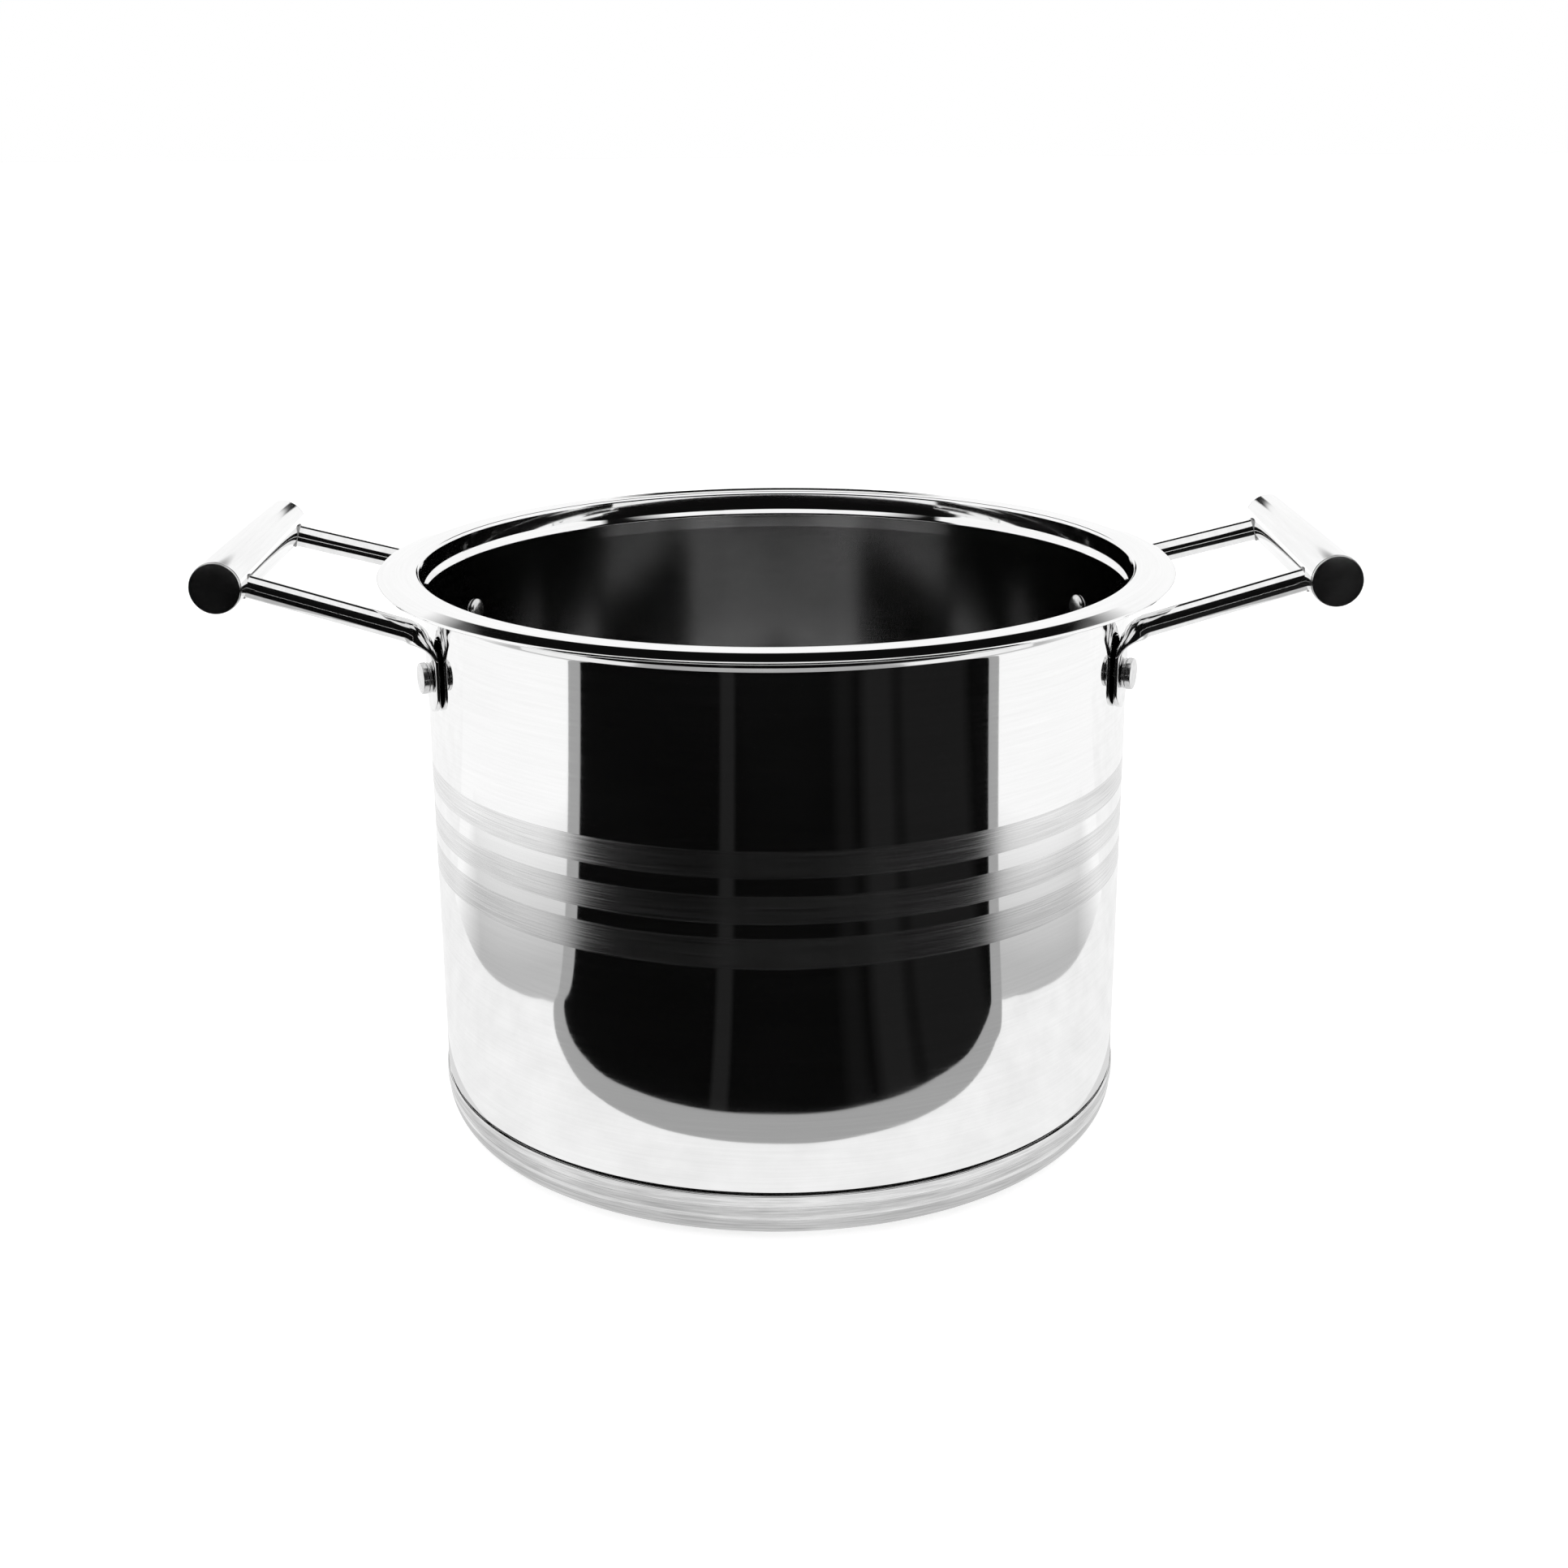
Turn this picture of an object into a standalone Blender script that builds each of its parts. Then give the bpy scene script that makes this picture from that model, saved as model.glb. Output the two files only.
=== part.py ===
"""Deep steel couscous pot with a flared neck, a flat pouring rim and two riveted tube handles.

The pot stands on z = 0 with its axis on Z. The handles lie on the X axis, left at -X and right at +X,
and the front is at -Y. Lengths are in metres and angles in degrees.
"""

import math

import bmesh
import bpy
from mathutils import Matrix, Vector

# Clearance that touching pieces keep from each other
GAP = 0.0003

# Pot shell
INNER_RADIUS = 0.1200
WALL = 0.0010
POT_HEIGHT = 0.1970
NECK_HEIGHT = 0.0100
NECK_FLARE = 0.0016
RIM_BEND = 0.0002
RIM_FLAT_WIDTH = 0.0068
LIP_WIDTH = 0.0059
LIP_DROP = 0.0012
FLOOR_CORNER = 0.0080

# Base: aluminium core in a pressed steel capsule
CAPSULE_RADIUS = 0.1216
CAPSULE_WALL = 0.0008
CAPSULE_HEIGHT = 0.0162
CAPSULE_BAND = 0.0042
CAPSULE_FOOT_RADIUS = 0.1135
CORE_THICKNESS = 0.0050
CORE_RIM = 0.0004
GROOVE_HEIGHT = 0.0009
GROOVE_EASE = 0.0014

# Handle arms: round rod, pressed flat where it lies on the wall
ROD_RADIUS = 0.0038
ARM_SLOPE = 15.0
ARM_SPACING_AT_GRIP = 0.0800
BEND_RADIUS = 0.0115
STRAP_WIDTH = 0.0130
STRAP_THICKNESS = 0.0020
STRAP_ABOVE_RIVET = 0.0083
STRAP_BELOW_RIVET = 0.0115
STRAP_SQUARENESS = 5
PRESS_CLEARANCE = 0.0005
PRESS_END_ANGLE = math.radians(40)

# Rivets and their washers
RIVET_AZIMUTH = 22.4
RIVET_BELOW_RIM = 0.0293
SHANK_RADIUS = 0.0025
HEAD_RADIUS = 0.0052
HEAD_THICKNESS = 0.0018
HEAD_ROUNDING = 0.0003
WASHER_RADIUS = 0.0050
WASHER_THICKNESS = 0.0009
DOME_RADIUS = 0.0045
DOME_HEIGHT = 0.0018

# Grips: tube with an end cap in each end
HANDLE_REACH = 0.0598
GRIP_RADIUS = 0.0086
GRIP_WALL = 0.0012
GRIP_LENGTH = 0.1069
CAP_THICKNESS = 0.0010
CAP_INSET = 0.0002
CAP_SPIGOT = 0.0050
EDGE_ROUNDING = 0.0003

# Length of the cutters for the rivet holes, centred on what they go through
HOLE_CUT_LENGTH = 0.0100

# Facets round each piece, and along each curve
POT_FACETS = 64
TUBE_FACETS = 28
SMALL_FACETS = 20
ROD_FACETS = 16
CORNER_STEPS = 5
FILLET_STEPS = 3
ROUNDING_STEPS = 2
NECK_STEPS = 4
LIP_STEPS = 3
FOOT_STEPS = 6
DOME_STEPS = 4
BEND_STEPS = 7

# Turns at which the strap's rounded end has a section, in degrees
STRAP_END_TURNS = (20, 45, 70, 90)

# Widest turn between two faces that still looks smooth
SMOOTH_ANGLE = math.radians(30)

SIDES = {"left": -1, "right": 1}
ENDS = {"front": -1, "rear": 1}


def clear_scene():
    for item in list(bpy.data.objects):
        bpy.data.objects.remove(item, do_unlink=True)


def new_collection(name):
    made = bpy.data.collections.new(name)
    bpy.context.scene.collection.children.link(made)
    return made


def metal(name, colour, roughness):
    """A Principled metal."""
    made = bpy.data.materials.new(name)
    made.use_nodes = True
    shader = made.node_tree.nodes["Principled BSDF"]
    shader.inputs["Base Color"].default_value = (*colour, 1)
    shader.inputs["Roughness"].default_value = roughness
    shader.inputs["Metallic"].default_value = 1
    return made


def finish_object(item, collection, material):
    for other in list(item.users_collection):
        other.objects.unlink(item)
    collection.objects.link(item)
    item.data.materials.clear()
    item.data.materials.append(material)
    item.data.shade_smooth()
    item.data.set_sharp_from_angle(angle=SMOOTH_ANGLE)
    return item


def arc(centre, radius, start, end, count):
    """Points (r, z) on a circle from one angle to another, in degrees from +r towards +z."""
    points = []
    for i in range(count + 1):
        angle = math.radians(start + (end - start) * i / count)
        points.append((centre[0] + radius * math.cos(angle), centre[1] + radius * math.sin(angle)))
    return points


def offset_line(points, distance):
    """The profile moved sideways by a distance, to the left of the way it runs."""
    moved = []
    for i, (r, z) in enumerate(points):
        before = points[max(i - 1, 0)]
        after = points[min(i + 1, len(points) - 1)]
        along = Vector((after[0] - before[0], after[1] - before[1])).normalized()
        moved.append((r - along.y * distance, z + along.x * distance))
    return moved


def turned(name, profile, facets, collection, material, closed=False):
    """A solid turned round Z from a profile that ends on the axis, or that closes on itself away from it."""
    edges = [(i, i + 1) for i in range(len(profile) - 1)]
    if closed:
        edges.append((len(profile) - 1, 0))
    mesh = bpy.data.meshes.new(name)
    mesh.from_pydata([(r, 0, z) for r, z in profile], edges, [])
    item = bpy.data.objects.new(name, mesh)
    bpy.context.scene.collection.objects.link(item)
    screw = item.modifiers.new("Turn", "SCREW")
    screw.axis = "Z"
    screw.steps = facets
    screw.render_steps = facets
    screw.use_merge_vertices = True
    screw.merge_threshold = 0.00001
    screw.use_smooth_shade = True
    return finish_object(item, collection, material)


def cut(item, cutter, name):
    boolean = item.modifiers.new(name, "BOOLEAN")
    boolean.operation = "DIFFERENCE"
    boolean.solver = "EXACT"
    boolean.object = cutter


def rod_cutter(name, radius, length, matrix, collection):
    """A cylinder along its own Z that cuts and isn't shown."""
    mesh = bpy.data.meshes.new(name)
    shape = bmesh.new()
    bmesh.ops.create_cone(
        shape, cap_ends=True, segments=SMALL_FACETS, radius1=radius, radius2=radius, depth=length
    )
    shape.to_mesh(mesh)
    shape.free()
    item = bpy.data.objects.new(name, mesh)
    item.matrix_world = matrix
    item.hide_render = True
    item.display_type = "WIRE"
    collection.objects.link(item)
    return item


# Heights and radii that follow from the sizes above
OUTER_RADIUS = INNER_RADIUS + WALL
RIM_FILLET = RIM_BEND + WALL
NECK_TOP = POT_HEIGHT - RIM_FILLET
CORE_BOTTOM = CAPSULE_WALL + GAP
FLOOR_BOTTOM = CORE_BOTTOM + CORE_THICKNESS + GAP
STEP_RADIUS = CAPSULE_RADIUS - CAPSULE_WALL - GAP - CORE_RIM - GAP
GROOVE_TOP = CAPSULE_HEIGHT + GROOVE_HEIGHT
BAND_BOTTOM = CAPSULE_HEIGHT - CAPSULE_BAND

# Places of the handles
RIVET_Z = POT_HEIGHT - RIVET_BELOW_RIM
STRAP_TOP = RIVET_Z + STRAP_ABOVE_RIVET
STRAP_FACE = OUTER_RADIUS + GAP
ARM_WALL_X = STRAP_FACE * math.cos(math.radians(RIVET_AZIMUTH))
ARM_WALL_Y = STRAP_FACE * math.sin(math.radians(RIVET_AZIMUTH))
GRIP_X = OUTER_RADIUS + HANDLE_REACH
SPLAY = math.atan2(ARM_WALL_Y - ARM_SPACING_AT_GRIP / 2, GRIP_X - ARM_WALL_X)
ARM_REACH = (GRIP_X - ARM_WALL_X) / math.cos(SPLAY)
BEND_ANGLE = math.radians(90 - ARM_SLOPE)
BEND_END_OUT = BEND_RADIUS * (1 - math.cos(BEND_ANGLE))
BEND_END_Z = STRAP_TOP + BEND_RADIUS * math.sin(BEND_ANGLE)
ARM_TOP_Z = BEND_END_Z + (ARM_REACH - BEND_END_OUT) / math.tan(BEND_ANGLE)
GRIP_Z = ARM_TOP_Z - ROD_RADIUS / math.sin(BEND_ANGLE)


def neck_line(start_radius):
    """One side of the flared neck, from its top down to where the straight wall starts."""
    points = []
    for i in range(NECK_STEPS + 1):
        down = i / NECK_STEPS
        flare = NECK_FLARE * (1 - down) ** 2
        points.append((start_radius + flare, NECK_TOP - (NECK_HEIGHT - RIM_FILLET) * down))
    return points


def lip_line(drop):
    """The flat ring's outer edge and the sloping lip, a given distance under the rim's upper side."""
    start = INNER_RADIUS + NECK_FLARE + RIM_FILLET + RIM_FLAT_WIDTH
    points = []
    for i in range(LIP_STEPS + 1):
        out = i / LIP_STEPS
        points.append((start + LIP_WIDTH * out, POT_HEIGHT - LIP_DROP * out ** 2 - drop))
    return points


def pot_profile():
    """From the middle of the inner floor up the inside, over the rim and down the outside."""
    floor_top = FLOOR_BOTTOM + WALL
    step_inside = STEP_RADIUS - WALL
    inner_corner = (step_inside - FLOOR_CORNER, floor_top + FLOOR_CORNER)
    points = [(0, floor_top)] + arc(inner_corner, FLOOR_CORNER, -90, 0, CORNER_STEPS)
    points += [(step_inside, GROOVE_TOP - WALL), (INNER_RADIUS, GROOVE_TOP + GROOVE_EASE)]
    points += list(reversed(neck_line(INNER_RADIUS)))[:-1]

    fillet = (INNER_RADIUS + NECK_FLARE + RIM_FILLET, NECK_TOP)
    lip_edge = lip_line(WALL / 2)[-1]
    points += arc(fillet, RIM_FILLET, 180, 90, FILLET_STEPS)
    points += lip_line(0)
    points += arc(lip_edge, WALL / 2, 45, -45, ROUNDING_STEPS)
    points += list(reversed(lip_line(WALL)))
    points += arc(fillet, RIM_BEND, 90, 180, 1)

    outer_corner = (inner_corner[0], FLOOR_BOTTOM + FLOOR_CORNER + WALL)
    points += neck_line(OUTER_RADIUS)[1:]
    points += [(OUTER_RADIUS, GROOVE_TOP + EDGE_ROUNDING), (OUTER_RADIUS - EDGE_ROUNDING, GROOVE_TOP)]
    points.append((STEP_RADIUS, GROOVE_TOP))
    points += arc(outer_corner, FLOOR_CORNER + WALL, 0, -90, CORNER_STEPS)
    points.append((0, FLOOR_BOTTOM))
    return points


def capsule_foot_line():
    """The capsule's outside from its band down to the flat it stands on: a quarter of an ellipse."""
    reach = CAPSULE_RADIUS - EDGE_ROUNDING - CAPSULE_FOOT_RADIUS
    height = BAND_BOTTOM - EDGE_ROUNDING
    points = []
    for i in range(FOOT_STEPS + 1):
        angle = math.radians(90 * i / FOOT_STEPS)
        points.append((CAPSULE_FOOT_RADIUS + reach * math.cos(angle), height * (1 - math.sin(angle))))
    return points


def capsule_outer_line():
    rounding = (CAPSULE_RADIUS - EDGE_ROUNDING, CAPSULE_HEIGHT - EDGE_ROUNDING)
    band = arc(rounding, EDGE_ROUNDING, 90, 0, ROUNDING_STEPS) + [(CAPSULE_RADIUS, BAND_BOTTOM)]
    return band + capsule_foot_line()


def capsule_inner_line(depth):
    """A line inside the capsule's outside by a given depth, from its top down to the axis."""
    top = CAPSULE_RADIUS - EDGE_ROUNDING
    outside = [(top, CAPSULE_HEIGHT)] + capsule_foot_line() + [(0, 0)]
    moved = offset_line(outside, -depth)
    moved[0] = (CAPSULE_RADIUS - depth, CAPSULE_HEIGHT)
    return moved[:-1] + [(0, depth)]


def build_pot(parts, cutters, steel):
    pot = turned("pot_shell", pot_profile(), POT_FACETS, parts, steel)
    for side in SIDES:
        for end in ENDS:
            hole = rod_cutter(
                f"cut_{side}_{end}_wall", SHANK_RADIUS + GAP, HOLE_CUT_LENGTH,
                rivet_frame(side, end, INNER_RADIUS + WALL / 2), cutters,
            )
            cut(pot, hole, f"{side} {end} rivet hole")


def build_base(parts, steel, aluminium):
    inside = list(reversed(capsule_inner_line(CAPSULE_WALL)))
    capsule = inside + capsule_outer_line() + [(0, 0)]
    turned("base_capsule", capsule, POT_FACETS, parts, steel)

    corner_radius = FLOOR_CORNER + WALL + GAP
    corner = (STEP_RADIUS - FLOOR_CORNER - WALL, FLOOR_BOTTOM + FLOOR_CORNER + WALL)
    upper = [(0, FLOOR_BOTTOM - GAP)] + arc(corner, corner_radius, -90, 0, CORNER_STEPS)
    lower = [point for point in capsule_inner_line(CAPSULE_WALL + GAP) if point[1] < corner[1]]
    lower.insert(0, (CAPSULE_RADIUS - CAPSULE_WALL - GAP, corner[1]))
    turned("base_core", upper + lower, POT_FACETS, parts, aluminium)


def rivet_frame(side, end, radius):
    """A frame at a rivet's axis, a given distance from the pot's axis, with Z pointing out."""
    azimuth = math.radians(RIVET_AZIMUTH)
    out = Vector((SIDES[side] * math.cos(azimuth), ENDS[end] * math.sin(azimuth), 0))
    up = Vector((0, 0, 1))
    frame = Matrix((up.cross(out), up, out)).transposed().to_4x4()
    frame.translation = out * radius + up * RIVET_Z
    return frame


def arm_stations():
    """Along the arm from the strap's end to the grip: how far out and how high the side that faces the wall
    is, how far it has bent, how wide the section is, and how round, from 0 on the strap to 1 on the rod."""
    half_strap = STRAP_WIDTH / 2
    strap_end = RIVET_Z - STRAP_BELOW_RIVET
    press_bottom = RIVET_Z + max(HEAD_RADIUS, WASHER_RADIUS) + PRESS_CLEARANCE
    press_length = STRAP_TOP - press_bottom + BEND_RADIUS * PRESS_END_ANGLE
    stations = []
    for degrees in STRAP_END_TURNS:
        turn = math.radians(degrees)
        z = strap_end + half_strap * (1 - math.cos(turn))
        stations.append((0, z, 0, math.sin(turn), 0))
    for share in (0, 0.5, 1):
        z = press_bottom + (STRAP_TOP - press_bottom) * share
        stations.append((0, z, 0, 1, (z - press_bottom) / press_length))
    for i in range(1, BEND_STEPS + 1):
        angle = BEND_ANGLE * i / BEND_STEPS
        out = BEND_RADIUS * (1 - math.cos(angle))
        z = STRAP_TOP + BEND_RADIUS * math.sin(angle)
        travelled = STRAP_TOP - press_bottom + BEND_RADIUS * angle
        stations.append((out, z, angle, 1, min(travelled / press_length, 1)))
    stations.append((ARM_REACH, ARM_TOP_Z, BEND_ANGLE, 1, 1))
    return stations


def arm_section(station):
    """The ring of points of one section of the right rear arm."""
    out, z, angle, width_share, travelled = station
    roundness = travelled * travelled * (3 - 2 * travelled)
    half = STRAP_THICKNESS / 2 + (ROD_RADIUS - STRAP_THICKNESS / 2) * roundness
    width = (STRAP_WIDTH / 2 + (ROD_RADIUS - STRAP_WIDTH / 2) * roundness) * width_share
    squareness = STRAP_SQUARENESS + (2 - STRAP_SQUARENESS) * roundness
    twist = (math.radians(RIVET_AZIMUTH) + SPLAY) * (1 - roundness)
    heading = Vector((math.cos(SPLAY), -math.sin(SPLAY), 0))
    sideways = Vector((math.sin(SPLAY), math.cos(SPLAY), 0))
    away = heading * math.cos(angle) - Vector((0, 0, math.sin(angle)))
    thick_way = away * math.cos(twist) + sideways * math.sin(twist)
    wide_way = sideways * math.cos(twist) - away * math.sin(twist)
    centre = Vector((ARM_WALL_X, ARM_WALL_Y, z)) + heading * out + thick_way * half
    ring = []
    for i in range(ROD_FACETS):
        around = 2 * math.pi * (i + 0.5) / ROD_FACETS
        across = math.copysign(abs(math.cos(around)) ** (2 / squareness), math.cos(around))
        along = math.copysign(abs(math.sin(around)) ** (2 / squareness), math.sin(around))
        ring.append(centre + thick_way * half * across + wide_way * width * along)
    return ring


def arm_mesh():
    """The right rear arm, lofted from its sections."""
    shape = bmesh.new()
    rings = [[shape.verts.new(point) for point in arm_section(station)] for station in arm_stations()]
    for lower, upper in zip(rings, rings[1:]):
        for i in range(ROD_FACETS):
            after = (i + 1) % ROD_FACETS
            shape.faces.new((lower[i], lower[after], upper[after], upper[i]))
    shape.faces.new(reversed(rings[0]))
    shape.faces.new(rings[-1])
    bmesh.ops.recalc_face_normals(shape, faces=shape.faces)
    mesh = bpy.data.meshes.new("arm")
    shape.to_mesh(mesh)
    shape.free()
    return mesh


def build_arms(parts, cutters, steel):
    mesh = arm_mesh()
    for side, x_way in SIDES.items():
        grip_hole = rod_cutter(
            f"cut_{side}_grip", GRIP_RADIUS + GAP, GRIP_LENGTH,
            Matrix.Translation((x_way * GRIP_X, 0, GRIP_Z)) @ Matrix.Rotation(math.pi / 2, 4, "X"),
            cutters,
        )
        for end, y_way in ENDS.items():
            mirrored = mesh.copy()
            mirrored.transform(Matrix.Diagonal((x_way, y_way, 1, 1)))
            if x_way * y_way < 0:
                mirrored.flip_normals()
            arm = bpy.data.objects.new(f"{side}_{end}_arm", mirrored)
            finish_object(arm, parts, steel)
            cut(arm, grip_hole, "Saddle on the grip")
            hole = rod_cutter(
                f"cut_{side}_{end}_strap", SHANK_RADIUS + GAP, HOLE_CUT_LENGTH,
                rivet_frame(side, end, STRAP_FACE + STRAP_THICKNESS / 2), cutters,
            )
            cut(arm, hole, "Rivet hole")


def rivet_profile():
    """Rivet along Z, zero on the pot's outer face: flat head outside, domed head inside."""
    head_bottom = GAP + STRAP_THICKNESS + GAP + WASHER_THICKNESS + GAP
    head_top = head_bottom + HEAD_THICKNESS
    curve_of_wall = INNER_RADIUS - math.sqrt(INNER_RADIUS ** 2 - DOME_RADIUS ** 2)
    dome_base = -WALL - GAP - curve_of_wall
    points = [(0, head_top)]
    rounding = (HEAD_RADIUS - HEAD_ROUNDING, head_top - HEAD_ROUNDING)
    points += arc(rounding, HEAD_ROUNDING, 90, 0, ROUNDING_STEPS)
    points += [(HEAD_RADIUS, head_bottom), (SHANK_RADIUS, head_bottom), (SHANK_RADIUS, dome_base)]
    for i in range(DOME_STEPS + 1):
        angle = math.radians(90 * i / DOME_STEPS)
        points.append((DOME_RADIUS * math.cos(angle), dome_base - DOME_HEIGHT * math.sin(angle)))
    points[-1] = (0, dome_base - DOME_HEIGHT)
    return points


def washer_profile():
    """Washer along Z, zero on the pot's outer face."""
    low = GAP + STRAP_THICKNESS + GAP
    high = low + WASHER_THICKNESS
    bore = SHANK_RADIUS + GAP
    return [(bore, high), (WASHER_RADIUS, high), (WASHER_RADIUS, low), (bore, low)]


def build_rivets(parts, steel):
    for side in SIDES:
        for end in ENDS:
            place = rivet_frame(side, end, OUTER_RADIUS)
            rivet = turned(f"{side}_{end}_rivet", rivet_profile(), SMALL_FACETS, parts, steel)
            rivet.matrix_world = place
            washer = turned(
                f"{side}_{end}_washer", washer_profile(), SMALL_FACETS, parts, steel, closed=True
            )
            washer.matrix_world = place


def tube_profile():
    """Grip tube along Z, centred, with eased outer edges."""
    half = GRIP_LENGTH / 2 - CAP_THICKNESS - GAP
    bore = GRIP_RADIUS - GRIP_WALL
    edge = GRIP_RADIUS - EDGE_ROUNDING
    outside = arc((edge, half - EDGE_ROUNDING), EDGE_ROUNDING, 90, 0, ROUNDING_STEPS)
    outside += arc((edge, EDGE_ROUNDING - half), EDGE_ROUNDING, 0, -90, ROUNDING_STEPS)
    return outside + [(bore, -half), (bore, half)]


def cap_profile():
    """End cap along Z, zero on its outer face: a disc with a spigot that plugs the tube."""
    disc = GRIP_RADIUS - CAP_INSET
    spigot = GRIP_RADIUS - GRIP_WALL - GAP
    rounding = (disc - EDGE_ROUNDING, -EDGE_ROUNDING)
    points = [(0, 0)] + arc(rounding, EDGE_ROUNDING, 90, 0, ROUNDING_STEPS)
    points += [(disc, -CAP_THICKNESS), (spigot, -CAP_THICKNESS)]
    points += [(spigot, -CAP_THICKNESS - CAP_SPIGOT), (0, -CAP_THICKNESS - CAP_SPIGOT)]
    return points


def build_grips(parts, steel, cap_steel):
    for side, x_way in SIDES.items():
        centre = Vector((x_way * GRIP_X, 0, GRIP_Z))
        tube = turned(f"{side}_grip_tube", tube_profile(), TUBE_FACETS, parts, steel, closed=True)
        tube.matrix_world = Matrix.Translation(centre) @ Matrix.Rotation(math.pi / 2, 4, "X")
        for end, y_way in ENDS.items():
            cap = turned(f"{side}_{end}_cap", cap_profile(), TUBE_FACETS, parts, cap_steel)
            outward = Matrix.Rotation(-y_way * math.pi / 2, 4, "X")
            at = centre + Vector((0, y_way * GRIP_LENGTH / 2, 0))
            cap.matrix_world = Matrix.Translation(at) @ outward


def main():
    clear_scene()
    parts = new_collection("couscous_pot")
    cutters = new_collection("cutters")
    polished = metal("polished_steel", (0.78, 0.78, 0.78), 0.06)
    brushed = metal("brushed_steel", (0.62, 0.62, 0.62), 0.30)
    aluminium = metal("core_aluminium", (0.80, 0.81, 0.82), 0.45)
    build_pot(parts, cutters, polished)
    build_base(parts, polished, aluminium)
    build_arms(parts, cutters, polished)
    build_rivets(parts, polished)
    build_grips(parts, polished, brushed)


main()
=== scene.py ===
"""Studio picture of a deep steel couscous pot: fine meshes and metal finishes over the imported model.

The pot stands on z = 0 with its axis on Z. The handles lie on the X axis and the front is at -Y.
Lengths are in metres. A bright surround and dark cards shape what the polished steel mirrors.
"""

import math

import bmesh
import bpy
from mathutils import Matrix, Vector


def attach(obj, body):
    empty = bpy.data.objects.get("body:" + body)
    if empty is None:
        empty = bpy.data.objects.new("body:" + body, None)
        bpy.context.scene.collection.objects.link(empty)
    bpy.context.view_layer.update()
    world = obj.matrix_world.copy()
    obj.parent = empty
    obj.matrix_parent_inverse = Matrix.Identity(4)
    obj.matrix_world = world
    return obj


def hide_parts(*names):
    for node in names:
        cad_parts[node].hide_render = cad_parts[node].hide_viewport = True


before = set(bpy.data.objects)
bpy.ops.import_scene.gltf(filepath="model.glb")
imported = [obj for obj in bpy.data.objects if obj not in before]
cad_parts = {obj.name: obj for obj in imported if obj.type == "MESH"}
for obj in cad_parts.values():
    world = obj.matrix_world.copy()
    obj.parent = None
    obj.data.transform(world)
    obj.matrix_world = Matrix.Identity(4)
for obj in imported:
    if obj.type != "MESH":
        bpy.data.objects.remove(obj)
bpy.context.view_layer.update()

MM = 0.001

# Pot shell
INNER_RADIUS = 0.1200
WALL = 0.0010
POT_HEIGHT = 0.1970
NECK_HEIGHT = 0.0100
NECK_FLARE = 0.0019
RIM_BEND = 0.0002
RIM_FLAT_WIDTH = 0.0065
LIP_WIDTH = 0.0059
LIP_DROP = 0.0012
LIP_EASE = 0.18
NECK_STEP_TOP = 0.1905
NECK_STEP_BOTTOM = 0.1884
NECK_STEP_WIDTH = 0.00115
NECK_STEP_EASE = 0.0005
FLOOR_CORNER = 0.0080
SATIN_INSIDE_TOP = 0.1835

# Satin bands round the outside, from the top: upper and lower edge
BANDS = ((0.1327, 0.1238), (0.1181, 0.1089), (0.1043, 0.0941))

# Base capsule
GAP = 0.0003
CAPSULE_RADIUS = 0.1216
CAPSULE_WALL = 0.0008
CAPSULE_HEIGHT = 0.0162
CAPSULE_BAND = 0.0042
LINE_HEIGHT = 0.0004
LINE_DEPTH = 0.0002
CAPSULE_FOOT_RADIUS = 0.1135
CORE_THICKNESS = 0.0050
CORE_RIM = 0.0004
GROOVE_HEIGHT = 0.0009
GROOVE_EASE = 0.0014

# Handle arms
ROD_RADIUS = 0.0038
ARM_SLOPE = 15.0
ARM_SPACING_AT_GRIP = 0.0800
BEND_RADIUS = 0.0115
STRAP_WIDTH = 0.0130
STRAP_THICKNESS = 0.0020
STRAP_ABOVE_RIVET = 0.0083
STRAP_BELOW_RIVET = 0.0115
STRAP_SQUARENESS = 3.6
PRESS_CLEARANCE = 0.0005
PRESS_END_ANGLE = math.radians(48)
WELD_RADIUS = 0.0005

# Rivets and washers
RIVET_AZIMUTH = 22.4
RIVET_BELOW_RIM = 0.0293
SHANK_RADIUS = 0.0025
HEAD_RADIUS = 0.0052
HEAD_THICKNESS = 0.0018
HEAD_ROUNDING = 0.0003
WASHER_RADIUS = 0.0050
WASHER_THICKNESS = 0.0009
DOME_RADIUS = 0.0045
DOME_HEIGHT = 0.0018

# Grips
HANDLE_REACH = 0.0598
GRIP_RADIUS = 0.0086
GRIP_WALL = 0.0012
GRIP_LENGTH = 0.1069
CAP_THICKNESS = 0.0010
CAP_INSET = 0.0002
CAP_SPIGOT = 0.0050
EDGE_ROUNDING = 0.0003

# How finely the meshes are made
POT_FACETS = 288
TUBE_FACETS = 96
SMALL_FACETS = 64
ROD_FACETS = 48
CURVE_STEPS = 16
EDGE_STEPS = 6
BEND_STEPS = 4
BEAD_STEPS = 8
OUTLINE_STEPS = 8
SMOOTH_ANGLE = math.radians(40)
ON_AXIS = 1e-7
SAME_PLACE = 1e-9

SIDES = {"left": -1, "right": 1}
ENDS = {"front": -1, "rear": 1}
UP = Vector((0, 0, 1))

# Heights, radii and places that follow from the sizes above
OUTER_RADIUS = INNER_RADIUS + WALL
RIM_FILLET = RIM_BEND + WALL
NECK_TOP = POT_HEIGHT - RIM_FILLET
FLOOR_BOTTOM = CAPSULE_WALL + GAP + CORE_THICKNESS + GAP
STEP_RADIUS = CAPSULE_RADIUS - CAPSULE_WALL - GAP - CORE_RIM - GAP
GROOVE_TOP = CAPSULE_HEIGHT + GROOVE_HEIGHT
BAND_BOTTOM = CAPSULE_HEIGHT - CAPSULE_BAND
RIVET_Z = POT_HEIGHT - RIVET_BELOW_RIM
STRAP_TOP = RIVET_Z + STRAP_ABOVE_RIVET
STRAP_FACE = OUTER_RADIUS + GAP
ARM_WALL_X = STRAP_FACE * math.cos(math.radians(RIVET_AZIMUTH))
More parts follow.
